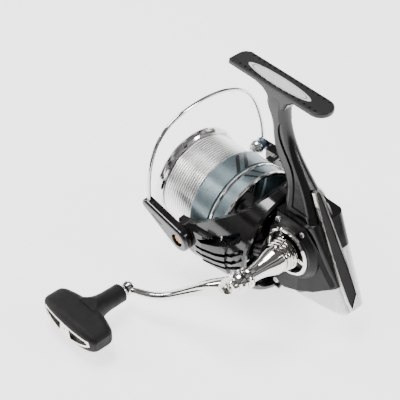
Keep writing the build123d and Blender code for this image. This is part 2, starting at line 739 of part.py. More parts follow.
roller_plane = lengthwise(ROLLER_X - 1.0, ROLLER_Z)
ROLLER_AXIS = Axis((CRANK_X + ROLLER_X - 1.0, 0, AXIS_Z + ROLLER_Z), (0, 1, 0))
line_roller = turned([(-45.8, 1.3), (-45.8, 4.2), (-45.2, 4.4), (-43.6, 3.5), (-42.2, 3.9), (-41.6, 4.4),
                      (-41.0, 4.4), (-41.0, 1.3)], roller_plane, ROLLER_AXIS)
roller_cone = turned([(-40.8, 0), (-40.8, 4.9), (-40.0, 5.0), (-38.4, 4.6), (-36.6, 3.6), (-35.2, 2.0),
                      (-34.8, 0)], roller_plane, ROLLER_AXIS)
roller_screw = turned([(-48.4, 0), (-48.4, 1.5), (-47.8, 1.9), (-47.62, 1.9), (-47.62, 1.2), (-40.84, 1.2),
                       (-40.84, 0)], roller_plane, ROLLER_AXIS)


def pivot_screw(y_head, sign):
    """Shouldered bail screw; sign is the side it faces."""
    plane = lengthwise(PIVOT_X, 0)
    axis = Axis((CRANK_X + PIVOT_X, 0, AXIS_Z), (0, 1, 0))
    pts = [(34.6, 0), (34.6, 2.0), (y_head, 2.0), (y_head, 3.6), (y_head + 1.0, 3.4),
           (y_head + 1.3, 2.8), (y_head + 1.3, 0)]
    body = turned([(sign * y, r) for y, r in pts], plane, axis)
    with BuildPart() as piece:
        add(body.part)
        with BuildSketch(side(sign * (y_head + 1.3))):
            with Locations((PIVOT_X, 0)):
                Rectangle(4.2, 0.8, rotation=25)
        extrude(amount=sign * 0.6, mode=Mode.SUBTRACT)
    return piece


bail_screws = join(pivot_screw(43.45, 1), pivot_screw(44.05, -1))

WIRE = [
    (88.8, 43.9, 6.6), (89.6, 43.2, 12.0), (91.7, 41.2, 20.9), (93.5, 37.6, 31.1), (95.3, 31.0, 41.0),
    (96.5, 21.0, 48.2), (97.2, 5.2, 52.4), (97.4, -11.9, 53.0), (97.0, -25.3, 50.8), (96.4, -33.9, 47.4),
    (95.4, -41.2, 42.0), (93.6, -45.8, 34.4), (91.0, -47.6, 26.2), (88.4, -48.0, 17.8), (86.8, -47.4, 12.6),
    (86.0, -46.8, 9.9),
]
wire_points = [(CRANK_X + x, y, AXIS_Z + z) for x, y, z in WIRE]
with BuildPart() as bail_wire:
    with BuildLine():
        wire_path = Spline(*wire_points)
    with BuildSketch(Plane(origin=wire_path @ 0, z_dir=wire_path % 0)):
        Circle(1.15)
    sweep()

# ---- spool ------------------------------------------------------------------------
drum_points = [(57.6, 4.06), (57.6, 9.0), (82.0, 9.0), (82.0, 19.0), (92.0, 19.0), (92.0, 26.6),
               (67.25, 26.6), (67.25, DRUM_RADIUS)]
for i in range(14):
    start = 69.0 + 1.72 * i
    drum_points += [(start, DRUM_RADIUS), (start + 0.3, DRUM_RADIUS + 0.55),
                    (start + 0.85, DRUM_RADIUS + 0.55), (start + 1.15, DRUM_RADIUS)]
drum_points += [(94.0, DRUM_RADIUS), (94.0, 29.3), (97.2, 29.3), (97.2, 25.4), (94.0, 24.2), (94.0, 17.0),
                (84.0, 17.0), (84.0, 4.06)]
spool_drum = on_shaft(drum_points)
spool_lip = on_shaft([(93.0, 29.36), (93.0, 30.2), (93.8, 31.3), (95.2, 31.9), (96.6, LIP_RADIUS),
                      (97.6, 31.6), (LIP_FRONT, 30.8), (LIP_FRONT, 29.36)])

with BuildPart() as spool_skirt:
    with BuildSketch(side()):
        with BuildLine():
            Polyline((42.3, 30.0), (42.3, 31.3), (49.8, SKIRT_RADIUS), (49.8, 31.0), (51.6, 31.0),
                     (51.6, 30.6), (53.4, 30.6), (53.4, SKIRT_RADIUS), (66.8, SKIRT_RADIUS - 0.1),
                     (SKIRT_FRONT, 31.0), (SKIRT_FRONT, 24.0), (65.2, 24.0), (65.2, 29.2), (64.4, 30.0),
                     close=True)
        make_face()
    revolve(axis=SPOOL_AXIS)
skirt_rings = join(
    on_shaft([(49.85, 31.05), (49.85, 31.7), (50.3, 31.95), (51.1, 31.95), (51.55, 31.7), (51.55, 31.05)]),
    on_shaft([(40.3, 30.2), (40.3, 31.5), (40.8, 31.9), (41.8, 31.9), (42.25, 31.6), (42.25, 30.0),
              (41.0, 30.0)]),
)
felt_washers = join(*[on_shaft(ring_points(84.1 + 2.2 * i, 85.1 + 2.2 * i, 4.2, 16.8)) for i in range(3)])
metal_washers = join(*[on_shaft(ring_points(85.2 + 2.2 * i, 86.2 + 2.2 * i, 4.1, 16.4)) for i in range(3)])
drag_retainer = on_shaft(ring_points(91.0, 91.8, 14.6, 16.94))

with BuildPart() as drag_knob:
    with BuildSketch(side()):
        with BuildLine():
            Polyline((92.2, 2.4), (92.2, 7.0), (94.6, 7.0), (94.6, 15.6), (95.6, 16.2), (101.0, 16.0),
                     (104.6, 14.6), (106.2, 12.0), (106.8, 8.0), (106.8, 0), (104.6, 0), (104.6, 2.4),
                     close=True)
        make_face()
    revolve(axis=SPOOL_AXIS)
    with BuildSketch(across(108.0)):
        with PolarLocations(17.4, 12):
            Circle(2.2)
    extrude(amount=-11.4, mode=Mode.SUBTRACT)
    with BuildSketch(across(106.0)):
        SlotOverall(25.0, 5.0)
    extrude(amount=3.2)
    fillet(drag_knob.faces().sort_by(Axis.X)[-1].edges(), radius=1.2)

# ---- crank, arm and knob -------------------------------------------------------------
shank_points = [(14.7, 0), (14.7, 4.0), (16.4, 4.0), (16.4, 8.3), (19.4, 8.3), (19.4, 9.4)]
for i in range(4):
    start = 19.4 + 2.0 * i
    size = 9.6 - 0.35 * i
    shank_points += [(start + 0.2, size), (start + 1.0, size + 0.1), (start + 1.4, size - 0.9),
                     (start + 1.9, size - 0.9)]
shank_points += [(27.4, 8.5), (30.4, 8.2), (33.4, 7.2), (37.0, 5.8), (41.0, 4.9), (45.0, 4.5), (47.6, 4.7),
                 (48.4, 5.8), (49.2, 6.2), (50.2, 5.9), (50.6, 5.3), (51.0, 6.2), (52.0, 6.5), (52.8, 6.0),
                 (53.0, 5.0), (53.0, 0)]
shank_turned = on_crank(shank_points)
bolt_bore = on_crank([(44.0, 0), (70.0, 0), (70.0, 2.05), (44.0, 2.05)])
with BuildPart() as handle_shank:
    add(shank_turned.part)
    add(bolt_bore.part, mode=Mode.SUBTRACT)

with BuildPart() as handle_cap:
    with BuildSketch(CRANK_SECTION):
        with BuildLine():
            Polyline((-17.45, 0), (-17.45, 4.0), (-16.8, 4.0), (-16.8, 7.8), (-17.3, 8.3), (-19.8, 8.3),
                     (-20.8, 7.3), (-21.2, 5.0), (-21.2, 0), close=True)
        make_face()
    revolve(axis=CRANK_AXIS)
    with BuildSketch(Plane(origin=(CRANK_X, -22.0, CRANK_Z), x_dir=(1, 0, 0), z_dir=(0, -1, 0))):
        Rectangle(9.0, 1.4)
    extrude(amount=-1.6, mode=Mode.SUBTRACT)
    with BuildSketch(Plane(origin=(CRANK_X, -22.0, CRANK_Z), x_dir=(1, 0, 0), z_dir=(0, -1, 0))):
        with PolarLocations(8.7, 18):
            Circle(0.85)
    extrude(amount=-4.6, mode=Mode.SUBTRACT)

ARM_RUN = [
    # along x, along y, height above the spool axis, half thickness, half depth
    (1.6, 56.4, 13.6, 5.0, 4.6),
    (9.0, 60.2, 8.6, 4.8, 4.5),
    (18.4, 63.6, 2.2, 4.2, 4.0),
    (27.3, 67.0, -4.7, 3.4, 3.5),
    (36.0, 70.8, -11.6, 2.8, 3.0),
    (44.2, 74.6, -16.6, 2.4, 2.6),
    (52.5, 78.3, -18.7, 2.0, 2.3),
    (61.0, 81.5, -20.0, 1.8, 2.1),
]
with BuildPart() as crank_arm:
    for i, (x, y, z, thick, deep) in enumerate(ARM_RUN):
        a = ARM_RUN[max(i - 1, 0)]
        b = ARM_RUN[min(i + 1, len(ARM_RUN) - 1)]
        run = Vector(b[0] - a[0], b[1] - a[1], b[2] - a[2]).normalized()
        sideways = Vector(0, 1, 0).cross(run).normalized()
        with BuildSketch(Plane(origin=(CRANK_X + x, y, AXIS_Z + z), x_dir=tuple(sideways), z_dir=tuple(run))):
            Ellipse(thick, deep)
    loft()
    with BuildSketch(KNOB_SECTION):
        with BuildLine():
            Polyline((78.6, 0), (78.9, 2.6), (80.0, 4.0), (81.6, 4.5), (83.8, 4.2), (84.6, 3.2), (84.6, 0),
                     close=True)
        make_face()
    revolve(axis=KNOB_AXIS)
    with BuildSketch(CRANK_SECTION):
        with BuildLine():
            Polyline((53.05, 0), (53.05, 5.6), (53.8, 6.4), (55.6, 6.8), (57.2, 6.2), (58.2, 4.8), (58.2, 0),
                     close=True)
        make_face()
    revolve(axis=CRANK_AXIS)
    add(bolt_bore.part, mode=Mode.SUBTRACT)
    for y0, y1, size in ((45.0, 53.03, 12.0), (58.2, 70.0, 7.5)):
        with BuildSketch(CRANK_SECTION):
            with BuildLine():
                Polyline((y0, 0), (y0, size), (y1, size), (y1, 0), close=True)
            make_face()
        revolve(axis=CRANK_AXIS, mode=Mode.SUBTRACT)

with BuildPart() as joint_bolt:
    with BuildSketch(CRANK_SECTION):
        with BuildLine():
            Polyline((44.2, 0), (44.2, 2.0), (58.25, 2.0), (58.25, 4.1), (60.0, 4.0), (61.0, 3.2), (61.4, 1.8),
                     (61.4, 0), close=True)
        make_face()
    revolve(axis=CRANK_AXIS)
    with BuildSketch(Plane(origin=(CRANK_X, 62.0, CRANK_Z), x_dir=(1, 0, 0), z_dir=(0, -1, 0))):
        RegularPolygon(2.0, 6)
    extrude(amount=2.4, mode=Mode.SUBTRACT)

knob_shaft = turned([(84.65, 0), (84.65, 2.9), (86.0, 2.9), (86.0, 2.0), (117.0, 2.0), (117.0, 0)],
                    KNOB_SECTION, KNOB_AXIS)
knob_bearings = join(turned(ring_points(88.2, 91.2, 2.06, 3.9, 0.2), KNOB_SECTION, KNOB_AXIS),
                     turned(ring_points(111.0, 114.0, 2.06, 3.9, 0.2), KNOB_SECTION, KNOB_AXIS))

KNOB_HALF_SECTIONS = [
    # x from the knob axis, inner y, outer y, bottom, top
    (0.0, 106.4, 128.0, -10.6, 6.6),
    (8.0, 107.0, 127.8, -10.0, 6.5),
    (15.0, 108.6, 127.2, -8.6, 6.1),
    (21.4, 110.8, 125.6, -6.2, 4.8),
    (23.7, 113.4, 123.6, -4.0, 2.8),
]
KNOB_SECTIONS = [(-row[0],) + row[1:] for row in KNOB_HALF_SECTIONS[:0:-1]] + KNOB_HALF_SECTIONS


def knob_bar(shrink):
    """Cross bar of the knob; shrink takes the outer face in."""
    with BuildPart() as piece:
        for x, y0, y1, low, high in KNOB_SECTIONS:
            outer = y1 - shrink
            with BuildSketch(Plane(origin=(CRANK_X + KNOB_X + x, 0, AXIS_Z + KNOB_Z), x_dir=(0, 1, 0),
                                   z_dir=(1, 0, 0))):
                with Locations(((y0 + outer) / 2, (low + high) / 2)):
                    RectangleRounded(outer - y0, high - low, 0.3 * min(outer - y0, high - low))
        loft()
    return piece


def knob_face(y):
    """Plane square to the knob axis: local x backward, local y up."""
    return Plane(origin=(CRANK_X + KNOB_X, y, AXIS_Z + KNOB_Z), x_dir=(-1, 0, 0), z_dir=(0, 1, 0))


def lens(grow, y0, y1):
    """Lens-shaped block across the outer face of the knob."""
    with BuildPart() as piece:
        with BuildSketch(knob_face(y0)):
            with BuildLine():
                Line((-19.6 - grow, 2.4 + grow), (19.6 + grow, 2.4 + grow))
                Line((19.6 + grow, 2.4 + grow), (20.4 + grow, -1.2))
                ThreePointArc((20.4 + grow, -1.2), (0, -7.4 - grow), (-20.4 - grow, -1.2))
                Line((-20.4 - grow, -1.2), (-19.6 - grow, 2.4 + grow))
            make_face()
        extrude(amount=y1 - y0)
    return piece


bar_full = knob_bar(0.0)
bar_floor = knob_bar(1.7)
knob_stem = turned([(86.6, 0), (86.6, 5.0), (87.4, 5.7), (98.0, 5.8), (102.0, 6.3), (106.0, 7.4), (109.6, 9.4),
                    (112.0, 9.4), (112.0, 0)], KNOB_SECTION, KNOB_AXIS)
knob_stem_limit = plan_prism([(KNOB_X - 14, 80.0), (KNOB_X + 14, 80.0), (KNOB_X + 14, 114.0),
                              (KNOB_X - 14, 114.0)], KNOB_Z - 8.6, KNOB_Z + 7.2)
knob_bore = turned([(80.0, 0), (80.0, 2.2), (86.0, 2.2), (86.0, 3.95), (91.4, 3.95), (91.4, 2.4),
                    (110.8, 2.4), (110.8, 3.95), (117.6, 3.95), (117.6, 0)], KNOB_SECTION, KNOB_AXIS)
with BuildPart() as inlay_seat:
    add(lens(0.12, 114.0, 132.0).part)
    add(bar_floor.part, mode=Mode.SUBTRACT)
    with BuildSketch(knob_face(112.0)):
        Rectangle(60, 40)
    extrude(amount=8.4, mode=Mode.SUBTRACT)

with BuildPart() as knob_grip:
    add(knob_stem.part)
    add(knob_stem_limit.part, mode=Mode.INTERSECT)
    add(bar_full.part)
    add(knob_bore.part, mode=Mode.SUBTRACT)
    add(inlay_seat.part, mode=Mode.SUBTRACT)

WINDOW_PLAN = [(3.6, 1.2), (17.0, 1.2), (18.8, 0.2), (18.0, -1.3), (12.0, -3.9), (4.8, -5.6)]
with BuildPart() as knob_inlay:
    add(lens(0.0, 120.8, 132.0).part)
    add(bar_full.part, mode=Mode.INTERSECT)
    add(bar_floor.part, mode=Mode.SUBTRACT)
    with BuildSketch(knob_face(118.0)):
        with BuildLine():
            Polyline(*WINDOW_PLAN, close=True)
        make_face()
        with BuildLine():
            Polyline(*[(-x, z) for x, z in WINDOW_PLAN], close=True)
        make_face()
    extrude(amount=10.0, mode=Mode.SUBTRACT)
    with BuildSketch(knob_face(127.3)):
        with Locations((0, -1.2)):
            Circle(0.8)
    extrude(amount=2.0, mode=Mode.SUBTRACT)

# ---- anti-reverse lever ------------------------------------------------------------
with BuildPart() as ar_lever:
    with BuildSketch(across(9.4)):
        with Locations((7.0, -22.75)):
            Circle(1.55)
        with BuildLine():
            Polyline((6.0, -22.6), (8.0, -22.2), (13.0, -25.2), (12.2, -27.0), (6.8, -24.2), close=True)
        make_face()
        with Locations((7.0, -22.75)):
            Circle(0.95, mode=Mode.SUBTRACT)
    extrude(amount=3.8)

with BuildPart() as ar_pin:
    with BuildSketch(across(5.42)):
        with Locations((7.0, -22.75)):
            Circle(0.88)
    extrude(amount=8.8)
    with BuildSketch(across(13.3)):
        with Locations((7.0, -22.75)):
            Circle(1.4)
    extrude(amount=0.9)

# ---- names and export ------------------------------------------------------------------
NODES = [
    ("body_housing", body_housing_seated),
    ("side_cover", side_cover),
    ("rear_cover", rear_cover_seated),
    ("tail_panel", tail_panel),
    ("tail_trim", tail_trim),
    ("foot_plate", foot_plate),
    ("cover_screws", cover_screws),
    ("crank_ring", crank_ring),
    ("crank_bearings", crank_bearings),
    ("drive_gear", drive_gear),
    ("crank_pinion", crank_pinion),
    ("oscillation_gear", oscillation_gear),
    ("oscillation_post", oscillation_post),
    ("pinion", as_rotor(pinion)),
    ("pinion_bearing", pinion_bearing),
    ("roller_clutch", roller_clutch),
    ("main_shaft", main_shaft),
    ("spool_sleeve", spool_sleeve),
    ("slider", slider),
    ("guide_rods", guide_rods),
    ("rotor", as_rotor(rotor)),
    ("rotor_nut", as_rotor(rotor_nut)),
    ("bail_arm", as_rotor(bail_arm)),
    ("roller_arm", as_rotor(roller_arm)),
    ("line_roller", as_rotor(line_roller)),
    ("roller_cone", as_rotor(roller_cone)),
    ("roller_screw", as_rotor(roller_screw)),
    ("bail_screws", as_rotor(bail_screws)),
    ("bail_wire", bail_wire),
    ("spool_drum", spool_drum),
    ("spool_lip", spool_lip),
    ("spool_skirt", spool_skirt),
    ("skirt_rings", skirt_rings),
    ("felt_washers", felt_washers),
    ("metal_washers", metal_washers),
    ("drag_retainer", drag_retainer),
    ("drag_knob", drag_knob),
    ("handle_shank", handle_shank),
    ("handle_cap", handle_cap),
    ("crank_arm", crank_arm),
    ("joint_bolt", joint_bolt),
    ("knob_shaft", knob_shaft),
    ("knob_bearings", knob_bearings),
    ("knob_grip", knob_grip),
    ("knob_inlay", knob_inlay),
    ("ar_lever", ar_lever),
    ("ar_pin", ar_pin),
]

os.makedirs("parts", exist_ok=True)
for name, piece in NODES:
    piece.part.label = name
    export_step(piece.part, "parts/" + name + ".step")
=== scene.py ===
import math
import bpy
from mathutils import Matrix, Vector


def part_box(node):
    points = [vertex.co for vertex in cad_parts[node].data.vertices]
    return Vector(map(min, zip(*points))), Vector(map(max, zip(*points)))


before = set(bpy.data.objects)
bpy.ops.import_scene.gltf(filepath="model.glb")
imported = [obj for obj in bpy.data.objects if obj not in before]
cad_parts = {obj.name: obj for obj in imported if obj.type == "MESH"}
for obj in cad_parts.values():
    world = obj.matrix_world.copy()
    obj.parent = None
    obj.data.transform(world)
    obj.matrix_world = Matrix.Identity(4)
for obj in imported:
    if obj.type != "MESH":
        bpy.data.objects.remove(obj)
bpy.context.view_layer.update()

# places on the part that patterns follow, in metres in the part's frame
SPOOL_AXIS_Z = -0.107          # height of the spool's axis
RIB_START = 0.0406             # where the spool's first rib starts
RIB_PITCH = 0.00172
GROOVE_AT = 0.835              # middle of a groove, as a share of the pitch
FOOT_SHADE = (-0.0065, -0.0035)    # heights between which gloss black turns to satin grey
PLATE_CENTRE = (0.0015, 0.0010)    # foot plate in plan
PLATE_HALF = (0.0230, 0.0039)
BORDER_AT = 0.86               # border line of the plate, as a share of its half size
BORDER_HALF_WIDTH = 0.022

# bars on the spool's skirt: angle at the start in degrees, slope in degrees a metre,
# start and end along X, half width in degrees
SKIRT_BARS = [
    (9.7, -1530.0, 0.0250, 0.0368, 2.7),
    (-1.9, -1530.0, 0.0250, 0.0368, 2.7),
    (0.1, 1280.0, 0.0146, 0.0212, 1.7),
    (-10.7, 1280.0, 0.0146, 0.0212, 1.7),
]


# ---- node helpers -------------------------------------------------------------
class Look:
    """One procedural material; every pattern is measured in the part's own frame, in metres."""

    def __init__(self, name):
        self.mat = bpy.data.materials.new(name)
        self.mat.use_nodes = True
        self.tree = self.mat.node_tree
        self.tree.nodes.clear()
        self.out = self.add("ShaderNodeOutputMaterial")
        self.bsdf = self.add("ShaderNodeBsdfPrincipled")
        self.join(self.bsdf.outputs["BSDF"], self.out.inputs["Surface"])
        self.coord = self.add("ShaderNodeTexCoord").outputs["Object"]

    def add(self, kind, **fields):
        """A new node of this kind, with its fields set."""
        node = self.tree.nodes.new(kind)
        for key, value in fields.items():
            setattr(node, key, value)
        return node

    def join(self, a, b):
        self.tree.links.new(a, b)

    def set(self, **values):
        """Uniform values on the shader's own sockets; an underscore stands for a space."""
        for key, value in values.items():
            self.bsdf.inputs[key.replace("_", " ")].default_value = value
        return self

    def noise(self, scale, detail=4.0, stretch=(1, 1, 1), rough=0.55):
        """Noise from 0 to 1, finer along an axis with a larger stretch."""
        mapping = self.add("ShaderNodeMapping")
        mapping.inputs["Scale"].default_value = stretch
        self.join(self.coord, mapping.inputs["Vector"])
        node = self.add("ShaderNodeTexNoise")
        node.inputs["Scale"].default_value = scale
        node.inputs["Detail"].default_value = detail
        node.inputs["Roughness"].default_value = rough
        self.join(mapping.outputs["Vector"], node.inputs["Vector"])
        return node.outputs["Fac"]

    def ramp(self, fac, stops):
        """A colour ramp through stops, each (position, colour)."""
        node = self.add("ShaderNodeValToRGB")
        while len(node.color_ramp.elements) < len(stops):
            node.color_ramp.elements.new(0.5)
        for element, (at, colour) in zip(node.color_ramp.elements, stops):
            element.position = at
            element.color = (*colour, 1.0)
        self.join(fac, node.inputs["Fac"])
        return node.outputs["Color"]

    def spread(self, fac, low, high, start=0.3, end=0.7):
        """fac from start to end becomes low to high."""
        node = self.add("ShaderNodeMapRange")
        for key, value in (("From Min", start), ("From Max", end), ("To Min", low), ("To Max", high)):
            node.inputs[key].default_value = value
        self.join(fac, node.inputs["Value"])
        return node.outputs["Result"]

    def maths(self, operation, a, b=None):
        """One maths node; a and b are each a number or a socket."""
        node = self.add("ShaderNodeMath", operation=operation)
        for socket, value in zip(node.inputs, (a, b)):
            if value is None:
                continue
            if isinstance(value, (int, float)):
                socket.default_value = value
            else:
                self.join(value, socket)
        return node.outputs[0]

    def axis(self, letter):
        """X, Y or Z in the part's frame."""
        node = self.add("ShaderNodeSeparateXYZ")
        self.join(self.coord, node.inputs["Vector"])
        return node.outputs[letter]

    def blend(self, mask, a, b):
        """Colour a where the mask is 0 and b where it is 1."""
        node = self.add("ShaderNodeMix", data_type="RGBA")
        self.join(mask, node.inputs["Factor"])
        for key, value in (("A", a), ("B", b)):
            socket = [s for s in node.inputs if s.name == key and s.type == "RGBA"][0]
            if isinstance(value, tuple):
                socket.default_value = (*value, 1.0)
            else:
                self.join(value, socket)
        return [s for s in node.outputs if s.type == "RGBA"][0]

    def bump(self, height, strength, distance):
        node = self.add("ShaderNodeBump")
        node.inputs["Strength"].default_value = strength
        node.inputs["Distance"].default_value = distance
        self.join(height, node.inputs["Height"])
        self.join(node.outputs["Normal"], self.bsdf.inputs["Normal"])
        return self

    def colour(self, socket):
        self.join(socket, self.bsdf.inputs["Base Color"])
        return self

    def roughness(self, socket):
        self.join(socket, self.bsdf.inputs["Roughness"])
        return self


def toned(colour, factor):
    """The colour made lighter or darker, each channel at most 1."""
    return tuple(min(1.0, c * factor) for c in colour)


def plain(name, colour, metallic=0.0, rough=(0.3, 0.4), patch=90.0, grain=1800.0, depth=0.00002,
          strength=0.25, vary=0.14, stretch=(1, 1, 1), coat=0.0, shine=0.5):
    """Base finish: broad colour drift, uneven gloss and a fine grain."""
    look = Look(name)
    look.set(Metallic=metallic, Coat_Weight=coat, Coat_Roughness=0.06, Specular_IOR_Level=shine)
    drift = look.noise(patch, 5.0, stretch)
    look.colour(look.ramp(drift, [(0.3, toned(colour, 1 - vary)), (0.7, toned(colour, 1 + vary))]))
    look.roughness(look.spread(look.noise(patch * 2.3, 6.0, stretch), rough[0], rough[1]))
    look.bump(look.noise(grain, 3.0, stretch), strength, depth)
    return look


def gloss_body(name):
    """Gloss black lower body, satin grey-black on the foot above it."""
    look = Look(name)
    height = look.axis("Z")
    foot = look.spread(height, 0.0, 1.0, *FOOT_SHADE)
    drift = look.noise(60.0, 5.0)
    dark = look.ramp(drift, [(0.3, (0.0018, 0.0016, 0.0017)), (0.7, (0.0034, 0.0030, 0.0031))])
    grey = look.ramp(drift, [(0.3, (0.0080, 0.0070, 0.0072)), (0.7, (0.0130, 0.0115, 0.0119))])
    look.colour(look.blend(foot, dark, grey))
    fine = look.spread(look.noise(240.0, 6.0), -0.035, 0.035)
    look.roughness(look.maths("ADD", look.spread(foot, 0.2, 0.46, 0.0, 1.0), fine))
    look.set(Coat_Weight=0.15, Coat_Roughness=0.08, Specular_IOR_Level=0.4)
    look.bump(look.noise(2600.0, 3.0), 0.16, 0.00002)
    return look


def chrome(name, colour=(0.83, 0.81, 0.785), rough=(0.04, 0.09)):
    """Polished plate with faint smears and hairlines."""
    look = Look(name)
    look.set(Metallic=1.0)
    smear = look.noise(55.0, 7.0, (1, 1, 2.5), 0.7)
    look.colour(look.ramp(smear, [(0.25, toned(colour, 0.88)), (0.75, toned(colour, 1.05))]))
    look.roughness(look.spread(look.noise(160.0, 8.0, (1, 3, 1), 0.7), rough[0], rough[1]))
    look.bump(look.noise(420.0, 4.0), 0.06, 0.00003)
    return look


def turned_metal(name, colour, rough, pitch=0.00035, strength=0.18):
    """Lathe-turned metal: fine rings round the spool axis."""
    look = Look(name)
    look.set(Metallic=1.0)
    drift = look.noise(120.0, 6.0, (6, 1, 1))
    look.colour(look.ramp(drift, [(0.3, toned(colour, 0.9)), (0.7, toned(colour, 1.08))]))
    look.roughness(look.spread(look.noise(300.0, 5.0, (8, 1, 1)), rough[0], rough[1]))
    rings = look.maths("SINE", look.maths("MULTIPLY", look.axis("X"), 2 * math.pi / pitch))
    look.bump(rings, strength, 0.00002)
    return look


def ribbed_look(name):
    """Bright silver ribs with painted shade, a near-black colour, in the grooves between them, along
    the line space.
    """
    look = Look(name)
    look.set(Metallic=1.0)
    along = look.maths("SUBTRACT", look.axis("X"), RIB_START)
    turn = look.maths("FRACT", look.maths("DIVIDE", along, RIB_PITCH))
    from_groove = look.maths("ABSOLUTE", look.maths("SUBTRACT", turn, GROOVE_AT))
    # painted shade: the grooves between the ribs are coloured near black, where shade falls
    groove_shade = look.spread(from_groove, 1.0, 0.0, 0.10, 0.24)
    drift = look.noise(60.0, 3.0, (0.3, 1, 1))
    bright = look.ramp(drift, [(0.3, (0.92, 0.915, 0.905)), (0.7, (0.98, 0.975, 0.965))])
    look.colour(look.blend(groove_shade, bright, (0.10, 0.097, 0.094)))
    look.roughness(look.spread(look.noise(90.0, 3.0), 0.27, 0.33))
    look.bump(look.noise(700.0, 2.0, (4, 1, 1)), 0.04, 0.00002)
    return look


def bar_mask(look, angle, along, centre, slope, start, end, half):
    """1 inside a slanted bar on the skirt: centre degrees at x start, slope degrees per metre."""
    run = look.maths("SUBTRACT", along, start)
    middle = look.maths("ADD", look.maths("MULTIPLY", run, slope), centre)
    off = look.maths("ABSOLUTE", look.maths("SUBTRACT", angle, middle))
    inside = look.maths("LESS_THAN", off, half)
    first = look.maths("GREATER_THAN", along, start)
    last = look.maths("LESS_THAN", along, end)
    return look.maths("MULTIPLY", inside, look.maths("MULTIPLY", first, last))


def skirt_look(name):
    """Blue-grey anodised skirt with two pairs of plain black bars on top and two below."""
    look = Look(name)
    along = look.axis("X")
    up = look.maths("ADD", look.axis("Z"), -SPOOL_AXIS_Z)
    angle = look.maths("DEGREES", look.maths("ARCTAN2", look.axis("Y"), up))
    masks = None
    # the angle wraps at 180 degrees, so the bars below the axis are given with both signs
    for turn in (0.0, 180.0, -180.0):
        for centre, slope, start, end, half in SKIRT_BARS:
            one = bar_mask(look, angle, along, centre + turn, slope, start, end, half)
            masks = one if masks is None else look.maths("MAXIMUM", masks, one)
    drift = look.noise(70.0, 6.0, (3, 1, 1))
    paint = look.ramp(drift, [(0.3, (0.155, 0.205, 0.225)), (0.7, (0.195, 0.250, 0.270))])
    look.colour(look.blend(masks, paint, (0.006, 0.006, 0.007)))
    look.join(look.spread(masks, 0.82, 0.0, 0.0, 1.0), look.bsdf.inputs["Metallic"])
    look.roughness(look.spread(look.noise(260.0, 5.0, (8, 1, 1)), 0.26, 0.36))
    look.set(Coat_Weight=0.2, Coat_Roughness=0.1)
    look.bump(look.noise(900.0, 3.0, (6, 1, 1)), 0.12, 0.00002)
    return look


def plate_look(name):
    """White foot plate with a fine grey border line and no lettering."""
    look = Look(name)
    x = look.maths("DIVIDE", look.maths("SUBTRACT", look.axis("X"), PLATE_CENTRE[0]), PLATE_HALF[0])
    y = look.maths("DIVIDE", look.maths("SUBTRACT", look.axis("Y"), PLATE_CENTRE[1]), PLATE_HALF[1])
    squares = look.maths("ADD", look.maths("MULTIPLY", x, x), look.maths("MULTIPLY", y, y))
    from_line = look.maths("ABSOLUTE", look.maths("SUBTRACT", look.maths("SQRT", squares), BORDER_AT))
    line = look.maths("LESS_THAN", from_line, BORDER_HALF_WIDTH)
    paper = look.ramp(look.noise(300.0, 5.0), [(0.3, (0.76, 0.755, 0.75)), (0.7, (0.86, 0.855, 0.85))])
    look.colour(look.blend(line, paper, (0.24, 0.235, 0.24)))
    look.roughness(look.spread(look.noise(420.0, 4.0), 0.3, 0.42))
    look.bump(look.noise(1500.0, 2.0), 0.1, 0.00002)
    return look


def rubber(name, colour=(0.0042, 0.0038, 0.0039)):
    """Soft-touch grip with a pebbled skin."""
    look = Look(name)
    look.set(Specular_IOR_Level=0.28)
    drift = look.noise(90.0, 5.0)
    look.colour(look.ramp(drift, [(0.3, toned(colour, 0.8)), (0.7, toned(colour, 1.3))]))
    look.roughness(look.spread(look.noise(240.0, 4.0), 0.52, 0.66))
    pebble = look.add("ShaderNodeTexVoronoi")
    pebble.inputs["Scale"].default_value = 1700.0
    look.join(look.coord, pebble.inputs["Vector"])
    look.bump(pebble.outputs["Distance"], 0.28, 0.00006)
    return look


# ---- finishes -----------------------------------------------------------------
polish = chrome("polished_chrome")
warm_polish = chrome("polished_trim", (0.86, 0.83, 0.77), (0.1, 0.2))
silver = ribbed_look("ribbed_silver_shaded_grooves")
lip_metal = turned_metal("polished_lip", (0.84, 0.83, 0.82), (0.06, 0.14), pitch=0.0005, strength=0.03)
gears = plain("cast_zinc", (0.42, 0.42, 0.43), metallic=0.9, rough=(0.3, 0.45), patch=120.0,
              grain=1500.0, depth=0.00004)
ground = plain("ground_steel", (0.62, 0.62, 0.63), metallic=1.0, rough=(0.18, 0.3), patch=120.0,
               grain=2200.0, strength=0.2, vary=0.1, stretch=(1, 8, 1))
brass = plain("machined_brass", (0.62, 0.43, 0.20), metallic=1.0, rough=(0.2, 0.32), patch=100.0)
moulded = plain("moulded_plastic", (0.020, 0.020, 0.022), rough=(0.38, 0.5), patch=110.0,
                grain=2400.0, depth=0.00003)
rotor_black = plain("gloss_rotor", (0.0060, 0.0052, 0.0052), rough=(0.1, 0.2), patch=70.0,
                    grain=1400.0, depth=0.00001, strength=0.12, vary=0.2, coat=0.5)
screw_steel = plain("screw_steel", (0.55, 0.55, 0.56), metallic=1.0, rough=(0.2, 0.34), patch=200.0,
                    grain=2600.0)
felt = plain("pressed_felt", (0.19, 0.17, 0.14), rough=(0.85, 0.95), patch=300.0, grain=3200.0,
             depth=0.0002, strength=0.6, vary=0.25)
satin = plain("satin_cover", (0.0034, 0.0030, 0.0032), rough=(0.36, 0.48), patch=80.0, grain=3000.0,
              depth=0.00003, strength=0.3, shine=0.24)
silver_paint = plain("silver_cover", (0.72, 0.72, 0.725), metallic=0.35, rough=(0.2, 0.3), grain=2200.0,
                     strength=0.15, vary=0.02, coat=0.4)
tail_black = plain("tail_panel", (0.0030, 0.0028, 0.0030), rough=(0.34, 0.46), patch=140.0,
                   grain=2600.0, depth=0.00003, strength=0.3, vary=0.2, stretch=(1, 1, 6), shine=0.24)
